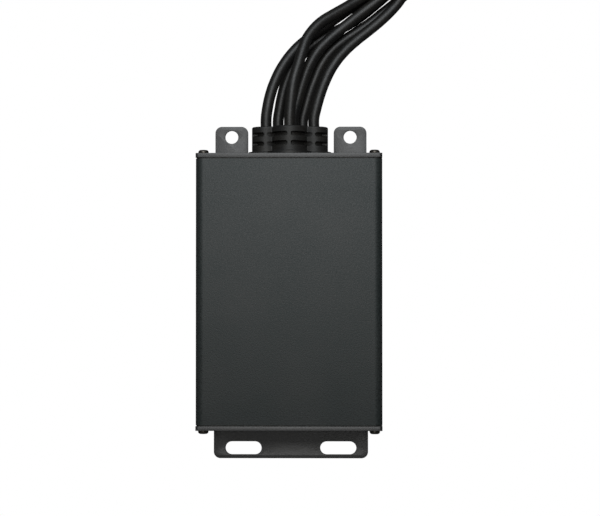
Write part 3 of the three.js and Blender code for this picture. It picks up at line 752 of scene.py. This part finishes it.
def gland_reach(angles, grow=0.0):
    """How far the outline round all lobes lies from the middle, along each angle."""
    reach = np.zeros(len(angles))
    for name, (x, z) in LOBES.items():
        radius = (FRONT_LOBE_RADIUS if name == "front" else LOBE_RADIUS) + grow
        dx, dz = x - GLAND_MIDDLE[0], z - GLAND_MIDDLE[1]
        along = dx * np.cos(angles) + dz * np.sin(angles)
        aside = dx * np.sin(angles) - dz * np.cos(angles)
        half = np.maximum(radius ** 2 - aside ** 2, 0)
        reach = np.maximum(reach, np.where(half > 0, along + np.sqrt(half), 0))
    return reach


def softened(values, width):
    """Rounds the valleys between the lobes by averaging over a few neighbours."""
    spread = np.arange(-3 * width, 3 * width + 1)
    weight = np.exp(-0.5 * (spread / width) ** 2)
    return sum(w * np.roll(values, s) for s, w in zip(spread, weight / weight.sum()))


def smooth_step(low, high, values):
    share = np.clip((values - low) / (high - low), 0, 1)
    return share * share * (3 - 2 * share)


def make_gland():
    angles = 2 * np.pi * np.arange(GLAND_SIDES) / GLAND_SIDES
    outline = softened(gland_reach(angles), VALLEY)
    xs, zs = outline * np.cos(angles), outline * np.sin(angles)
    steps = np.hypot(np.roll(xs, -1) - xs, np.roll(zs, -1) - zs)
    along = np.concatenate([[0], np.cumsum(steps)[:-1]])
    around = steps.sum()
    from_post = np.full(GLAND_SIDES, around)
    posts = [np.argmin(xs), np.argmax(xs)]
    for name, (x, z) in LOBES.items():
        if name != "middle":
            on_side = (zs > 0) == (z >= GLAND_MIDDLE[1])
            posts.append(np.argmin(np.where(on_side, np.abs(xs - x), 1)))
    for post in posts:
        away = np.abs(along - along[post])
        from_post = np.minimum(from_post, np.minimum(away, around - away))
    half = SLOT_HEIGHT / 2
    past_post = half - np.clip(from_post - POST_WIDTH / 2, -1, half)
    seat, top = PLATE_HIGH_WALL, GLAND_END
    lip = PLATE_INSIDE - LIP_GAP

    def ring(y, radii):
        return [
            (GLAND_MIDDLE[0] + r * math.cos(a), y, GLAND_MIDDLE[1] + r * math.sin(a))
            for r, a in zip(radii, angles)
        ]

    def grown(amount):
        return softened(gland_reach(angles, amount), VALLEY)

    rings = [
        ring(lip - LIP_THICKNESS, grown(LIP_RIM - LIP_ROUND)),
        ring(lip - LIP_THICKNESS + LIP_ROUND, grown(LIP_RIM)),
        ring(lip - LIP_ROUND, grown(LIP_RIM)),
        ring(lip, grown(LIP_RIM - LIP_ROUND)),
        ring(lip, grown(-NECK_INSET)),
        ring(seat, grown(-NECK_INSET)),
        ring(seat, grown(FLANGE_RIM - FLANGE_UNDER)),
    ]
    for turn in np.linspace(0, math.pi / 2, 5):
        inset = FLANGE_ROUND * (1 - math.cos(turn))
        level = seat + FLANGE_THICKNESS - FLANGE_ROUND * (1 - math.sin(turn))
        rings.append(ring(level, grown(FLANGE_RIM - inset)))
    for turn in np.linspace(0, math.pi / 2, 5):
        level = seat + FLANGE_THICKNESS + FLANGE_ROUND * (1 - math.cos(turn))
        rings.append(ring(level, outline + FLANGE_ROUND * (1 - math.sin(turn))))
    for y in np.arange(seat + FLANGE_THICKNESS + FIRST_RING, top - GLAND_FILLET, RING_STEP):
        cut = np.zeros(GLAND_SIDES)
        for start in SLOT_STARTS:
            off = y - (seat + start + half)
            into = np.where(past_post > 0, np.hypot(past_post, off), abs(off)) - half
            cut = np.maximum(cut, smooth_step(SLOT_EDGE, -SLOT_EDGE, into))
        rings.append(ring(y, outline - SLOT_DEPTH * cut))
    for turn in np.linspace(0, math.pi / 2, 6):
        inset = GLAND_FILLET * (1 - math.cos(turn))
        rings.append(ring(top - GLAND_FILLET * (1 - math.sin(turn)), outline - inset))
    for share in np.linspace(0.97, 0.02, 34):
        points = []
        for r, a in zip((outline - GLAND_FILLET) * share, angles):
            x, z = GLAND_MIDDLE[0] + r * math.cos(a), GLAND_MIDDLE[1] + r * math.sin(a)
            nearest = min(math.hypot(x - lx, z - lz) for lx, lz in LOBES.values())
            dish = float(smooth_step(DISH_START, DISH_END, np.array(nearest))) * min(1, (1 - share) * 12)
            points.append((x, top - DISH_DEPTH * dish, z))
        rings.append(points)
    build = bmesh.new()
    add_loft(build, rings)
    return finished(object_of("gland", mesh_of(build, "gland")), "gland_plastic", "cable_gland")

# --- housing, plates and gaskets ----------------------------------------------------------------

WIDTH = (HOUSING_HIGH.x - HOUSING_LOW.x) / MM
HEIGHT = (HOUSING_HIGH.z - HOUSING_LOW.z) / MM
LENGTH = (HOUSING_HIGH.y - HOUSING_LOW.y) / MM
WALL, CORNER = 2.2, 4.5
PLATE_CORNER, BEND = 1.6, 1.2
SCREW_INSET, SCREW_HOLE, BOSS = 4.1, 3.6, 3.6
BOARD_SLOT, BOARD_SLOT_WIDTH, RIB_REACH, RIB = 14, 1.9, 2.6, 1.2
EAR_WIDTH, EAR_SPACING, EAR_HOLE, EAR_HOLE_FROM_TIP = 18.1, 65.4, 7.2, 5.8
FOOT_WIDTH, SLOT_SPACING, SLOT_LENGTH, SLOT_WIDTH, SLOT_FROM_TIP = 85, 52.2, 19.9, 7.2, 5.7
EAR_REACH, FOOT_REACH, LUG_CORNER = 17.2, 17.1, 3.6
RELIEF, RELIEF_DEPTH = 0.9, 0.2
HOUSING_EDGE, PLATE_EDGE, GASKET_EDGE = 0.1, 0.14, 0.08
GLAND_CLEARANCE = 0.0003
GASKET_STEP, GASKET_RIM, GASKET_INSET, GASKET_WANDER, WAVE_SCALE, WAVE_GAIN = 0.7, 3.1, 0.26, 0.24, 0.45, 1.8

screw_centres = [
    (side * (WIDTH / 2 - SCREW_INSET), level)
    for side in (-1, 1)
    for level in (SCREW_INSET, HEIGHT - SCREW_INSET)
]
screw_holes = [circle(x, z, SCREW_HOLE, 24) for x, z in screw_centres]


def boss_turn(side, level):
    """The cavity's outline round one screw boss, from floor or roof to side wall."""
    x = side * (WIDTH / 2 - SCREW_INSET)
    z = SCREW_INSET if level < 0 else HEIGHT - SCREW_INSET
    wall_z = WALL if level < 0 else HEIGHT - WALL
    start = math.pi if side > 0 else 0
    turn = arc(x, z, BOSS, start, start + side * level * math.pi / 2)
    return [(x - side * BOSS, wall_z), *turn, (side * (WIDTH / 2 - WALL), z - level * BOSS)]


def rib_pair(side):
    """The two ribs that hold one edge of the board, upwards."""
    wall = side * (WIDTH / 2 - WALL)
    tip = wall - side * RIB_REACH
    low, high = BOARD_SLOT, BOARD_SLOT + BOARD_SLOT_WIDTH
    points = []
    for bottom in (low - RIB, high):
        points += [(wall, bottom), (tip, bottom), (tip, bottom + RIB), (wall, bottom + RIB)]
    return points


def stood_up(build, middle, name):
    """Turns a slab drawn across and up, in millimetres, so that its thickness runs along Y."""
    for vert in build.verts:
        x, z, y = vert.co
        vert.co = (x * MM, middle + y * MM, z * MM)
    return mesh_of(build, name)


def make_housing():
    outer = rounded(-WIDTH / 2, 0, WIDTH / 2, HEIGHT, CORNER, 14)
    cavity = [
        *boss_turn(1, -1), *rib_pair(1), *boss_turn(1, 1)[::-1],
        *boss_turn(-1, 1), *rib_pair(-1)[::-1], *boss_turn(-1, -1)[::-1],
    ]
    build = cut_sheet([outer, cavity, *screw_holes], LENGTH, HOUSING_EDGE)
    middle = (HOUSING_LOW.y + HOUSING_HIGH.y) / 2
    tube = object_of("housing_tube", stood_up(build, middle, "housing_tube"))
    finished(tube, "housing_coating", "housing")


# A plate is cut flat with its lugs straight down, then each lug is bent out through a right angle.
BEND_START = PLATE_THICKNESS + BEND
BEND_LENGTH = (BEND + PLATE_THICKNESS / 2) * math.pi / 2


def lug_tip(reach):
    """Where the tip of a lug that reaches so far out lies before it is bent."""
    return BEND_START - BEND_LENGTH - (reach - BEND)


def plate_outline(lugs, lug_width, reach):
    points = arc(-WIDTH / 2 + PLATE_CORNER, PLATE_CORNER, PLATE_CORNER, math.pi, 1.5 * math.pi, 5)
    relief_end = BEND_START + RELIEF_DEPTH
    for centre in lugs:
        near, far = centre - lug_width / 2, centre + lug_width / 2
        low = lug_tip(reach) + LUG_CORNER
        points += [(near - RELIEF, 0), (near - RELIEF, relief_end), (near, relief_end)]
        points += arc(near + LUG_CORNER, low, LUG_CORNER, math.pi, 1.5 * math.pi)
        points += arc(far - LUG_CORNER, low, LUG_CORNER, -math.pi / 2, 0)
        points += [(far, relief_end), (far + RELIEF, relief_end), (far + RELIEF, 0)]
    return [
        *points,
        *arc(WIDTH / 2 - PLATE_CORNER, PLATE_CORNER, PLATE_CORNER, -math.pi / 2, 0, 5),
        *arc(WIDTH / 2 - PLATE_CORNER, HEIGHT - PLATE_CORNER, PLATE_CORNER, 0, math.pi / 2, 5),
        *arc(-WIDTH / 2 + PLATE_CORNER, HEIGHT - PLATE_CORNER, PLATE_CORNER, math.pi / 2, math.pi, 5),
    ]


def bent(x, z, depth, lugs, lug_width):
    """Where a point of the flat plate goes; depth is measured outwards from the plate's middle."""
    if z >= BEND_START or min(abs(x - centre) for centre in lugs) > lug_width / 2 + 0.01:
        return x, depth, z
    radius = BEND + PLATE_THICKNESS / 2 - depth
    along = BEND_START - z
    turn = min(along / BEND_LENGTH, 1) * math.pi / 2
    straight = max(along - BEND_LENGTH, 0)
    y = PLATE_THICKNESS / 2 + BEND - radius * math.cos(turn) + straight
    return x, y, BEND_START - radius * math.sin(turn)


def make_plate(name, node, end, lugs, lug_width, reach, openings):
    outlines = [plate_outline(lugs, lug_width, reach), *openings, *screw_holes]
    build = cut_sheet(outlines, PLATE_THICKNESS, PLATE_EDGE)
    for share in range(9):
        level = BEND_START - BEND_LENGTH * share / 8
        everything = [*build.verts, *build.edges, *build.faces]
        bmesh.ops.bisect_plane(
            build, geom=everything, plane_co=(0, level, 0), plane_no=(0, 1, 0), dist=1e-4
        )
    middle = PLATE_INSIDE + PLATE_THICKNESS * MM / 2
    for vert in build.verts:
        x, y, z = bent(vert.co.x, vert.co.y, vert.co.z, lugs, lug_width)
        vert.co = (end * x * MM, end * (middle + y * MM), z * MM)
    finished(object_of(name, mesh_of(build, name)), "plate_coating", node)


def slot_outline(x, y):
    half = (SLOT_LENGTH - SLOT_WIDTH) / 2
    quarter = math.pi / 2
    return [
        *arc(x + half, y, SLOT_WIDTH / 2, -quarter, quarter, 14),
        *arc(x - half, y, SLOT_WIDTH / 2, quarter, 3 * quarter, 14),
    ]


def gland_opening():
    angles = 2 * np.pi * np.arange(120) / 120
    reach = gland_reach(angles, GLAND_CLEARANCE - NECK_INSET) / MM
    return [
        (GLAND_MIDDLE[0] / MM + r * math.cos(a), GLAND_MIDDLE[1] / MM + r * math.sin(a))
        for r, a in zip(reach, angles)
    ]


def make_gasket(name, node, end):
    """A ring that stands proud of its groove here and there, as a clamped gasket does."""
    rim = []
    outline = rounded(-WIDTH / 2, 0, WIDTH / 2, HEIGHT, CORNER, 8)
    for (x, z), (to_x, to_z) in zip(outline, outline[1:] + outline[:1]):
        steps = max(1, round(math.hypot(to_x - x, to_z - z) / GASKET_STEP))
        rim += [(x + (to_x - x) * i / steps, z + (to_z - z) * i / steps) for i in range(steps)]
    wavy = []
    for x, z in rim:
        wave = noise.noise(Vector((x * WAVE_SCALE, z * WAVE_SCALE, end * 5.0)))
        inset = GASKET_INSET - GASKET_WANDER * max(-1, min(1, WAVE_GAIN * wave))
        scale_x = (WIDTH / 2 - inset) / (WIDTH / 2)
        scale_z = (HEIGHT / 2 - inset) / (HEIGHT / 2)
        wavy.append((x * scale_x, HEIGHT / 2 + (z - HEIGHT / 2) * scale_z))
    near, far = WIDTH / 2 - SCREW_INSET - BOSS, WIDTH / 2 - GASKET_RIM
    low, high = SCREW_INSET + BOSS, HEIGHT - SCREW_INSET - BOSS
    top = HEIGHT - GASKET_RIM
    opening = [(near, GASKET_RIM), (near, low), (far, low), (far, high), (near, high), (near, top)]
    opening += [(-x, z) for x, z in opening[::-1]]
    build = cut_sheet([wavy, opening, *screw_holes], GASKET_THICKNESS, GASKET_EDGE)
    middle = end * (HOUSING_HIGH.y + GASKET_THICKNESS * MM / 2)
    finished(object_of(name, stood_up(build, middle, name)), "gasket_rubber", node)


make_gland()
make_housing()
ear_hole_level = lug_tip(EAR_REACH) + EAR_HOLE_FROM_TIP
slot_level = lug_tip(FOOT_REACH) + SLOT_FROM_TIP
ears = (-EAR_SPACING / 2, EAR_SPACING / 2)
ear_holes = [circle(x, ear_hole_level, EAR_HOLE) for x in ears]
foot_slots = [slot_outline(side * SLOT_SPACING / 2, slot_level) for side in (-1, 1)]
make_plate("ear_plate", "cable_end_plate", 1, ears, EAR_WIDTH, EAR_REACH, [gland_opening(), *ear_holes])
make_plate("foot_plate", "foot_end_plate", -1, (0,), FOOT_WIDTH, FOOT_REACH, foot_slots)
make_gasket("cable_end_gasket", "gasket_cable_end", 1)
make_gasket("foot_end_gasket", "gasket_foot_end", -1)

# --- screws -------------------------------------------------------------------------------------

HEAD_RADIUS, HEAD_HEIGHT, HEAD_EDGE, DOME_START = 2.8, 1.8, 0.15, 0.55
SOCKET_RADIUS, SOCKET_RIM, SOCKET_FLOOR, SOCKET_GROWS = 1.15, 0.3, 0.8, 1.08
SHANK_RADIUS, SHANK_TIP, SHANK_END = 1.5, 0.9, -9
THREAD_DEPTH, THREAD_START, THREAD_STEP, THREAD_STEPS = 0.22, -8.6, 0.18, 46
SCREW_SIDES, SCREW_TURN = 48, 17


def screw_profile():
    """A button-head screw standing on its seat, in millimetres, with a dome of one quarter arc."""
    dome = []
    rim = SOCKET_RADIUS + SOCKET_RIM
    for i in range(9):
        turn = math.pi / 2 * i / 8
        across = rim + (HEAD_RADIUS - rim) * math.cos(turn)
        dome.append((across, DOME_START + (HEAD_HEIGHT - DOME_START) * math.sin(turn)))
    thread = []
    for i in range(THREAD_STEPS):
        thread.append((SHANK_RADIUS - (THREAD_DEPTH if i % 2 else 0), THREAD_START + THREAD_STEP * i))
    return [
        (SHANK_TIP, SHANK_END),
        *thread,
        (SHANK_RADIUS, -0.2),
        (SHANK_RADIUS, 0),
        (HEAD_RADIUS - HEAD_EDGE, 0),
        (HEAD_RADIUS, HEAD_EDGE),
        *dome,
        (SOCKET_RADIUS, HEAD_HEIGHT),
        (SOCKET_RADIUS, SOCKET_FLOOR),
    ]


def hex_socket(angle):
    """How far in the six flats of the socket draw its round mouth, at an angle."""
    sixth = math.pi / 3
    return math.cos(sixth / 2) / math.cos((angle % sixth) - sixth / 2)


def make_screw(number):
    low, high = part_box(f"plate_screw_{number}")
    end = 1 if (low.y + high.y) > 0 else -1
    build = bmesh.new()
    rings = []
    profile = screw_profile()
    for index, (radius, along) in enumerate(profile):
        in_socket = index >= len(profile) - 2
        ring = []
        for i in range(SCREW_SIDES):
            angle = 2 * math.pi * i / SCREW_SIDES
            reach = radius * (hex_socket(angle) * SOCKET_GROWS if in_socket else 1)
            ring.append((reach * math.cos(angle), along, reach * math.sin(angle)))
        rings.append(ring)
    add_loft(build, rings)
    turn = Matrix.Rotation(math.radians(SCREW_TURN * number), 4, "Y")
    seat = Vector(((low.x + high.x) / 2, end * PLATE_HIGH_WALL, (low.z + high.z) / 2))
    flip = Matrix.Rotation(0 if end > 0 else math.pi, 4, "X")
    mesh = mesh_of(build, f"screw_{number}")
    mesh.transform(Matrix.Translation(seat) @ flip @ turn @ Matrix.Scale(MM, 4))
    finished(object_of(f"screw_{number}", mesh), "screw_steel", f"plate_screw_{number}")


for number in range(1, 9):
    make_screw(number)

# --- pieces inside, which keep their shape ------------------------------------------------------

INSIDE = {
    "board_laminate": ["circuit_board"],
    "bare_aluminium": ["heat_spreader"],
    "thermal_silicone": ["thermal_pad"],
    "terminal_plastic": ["terminal_block"],
    "chip_plastic": ["processor_chip", "motion_sensor", *(f"power_transistor_{i}" for i in range(1, 5))],
    "capacitor_sleeve": [f"capacitor_{i}" for i in range(1, 4)],
    "lead_jacket": [f"inner_lead_{i}" for i in range(1, 7)],
}
for slot, nodes in INSIDE.items():
    for node in nodes:
        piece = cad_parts[node]
        piece.data.materials.clear()
        piece.data.materials.append(MATERIALS[slot])

# --- floor and light ----------------------------------------------------------------------------


FLOOR_SIZE, FLOOR_DROP = 9, 0.0002
WORLD_LEVEL = 0.07


def make_floor():
    build = bmesh.new()
    bmesh.ops.create_grid(build, x_segments=2, y_segments=2, size=FLOOR_SIZE)
    mesh = bpy.data.meshes.new("floor")
    build.to_mesh(mesh)
    build.free()
    floor = bpy.data.objects.new("floor", mesh)
    floor.location.z = -FLOOR_DROP
    SCENE.collection.objects.link(floor)
    material = bpy.data.materials.new("floor")
    material.use_nodes = True
    shader = material.node_tree.nodes["Principled BSDF"]
    shader.inputs["Base Color"].default_value = (0, 0, 0, 1)
    shader.inputs["Specular IOR Level"].default_value = 0
    shader.inputs["Emission Color"].default_value = (1, 1, 1, 1)
    shader.inputs["Emission Strength"].default_value = 1
    mesh.materials.append(material)
    floor.visible_diffuse = False
    floor.visible_glossy = False


def make_light(name, place, aim, size, power, colour):
    light = bpy.data.lights.new(name, "AREA")
    light.color = colour
    light.shape = "RECTANGLE"
    light.size, light.size_y = size
    light.energy = power
    holder = bpy.data.objects.new(name, light)
    holder.matrix_world = turned_to(Vector(place), Vector(aim))
    SCENE.collection.objects.link(holder)


def make_world(level):
    world = bpy.data.worlds.new("studio")
    world.use_nodes = True
    world.node_tree.nodes["Background"].inputs["Color"].default_value = (1, 1, 1, 1)
    world.node_tree.nodes["Background"].inputs["Strength"].default_value = level
    SCENE.world = world


make_floor()
make_world(WORLD_LEVEL)
make_light(
    "key", place=(0, 0.55, 0.75), aim=(0, 0.03, 0), size=(0.7, 0.45), power=4.6, colour=(0.94, 1.0, 1.04)
)
make_light(
    "overhead", place=(0, 0.24, 1.7), aim=(0, 0.24, 0), size=(0.8, 0.8), power=9.5, colour=(1.0, 1.0, 0.98)
)
SCENE.view_settings.view_transform = "Standard"
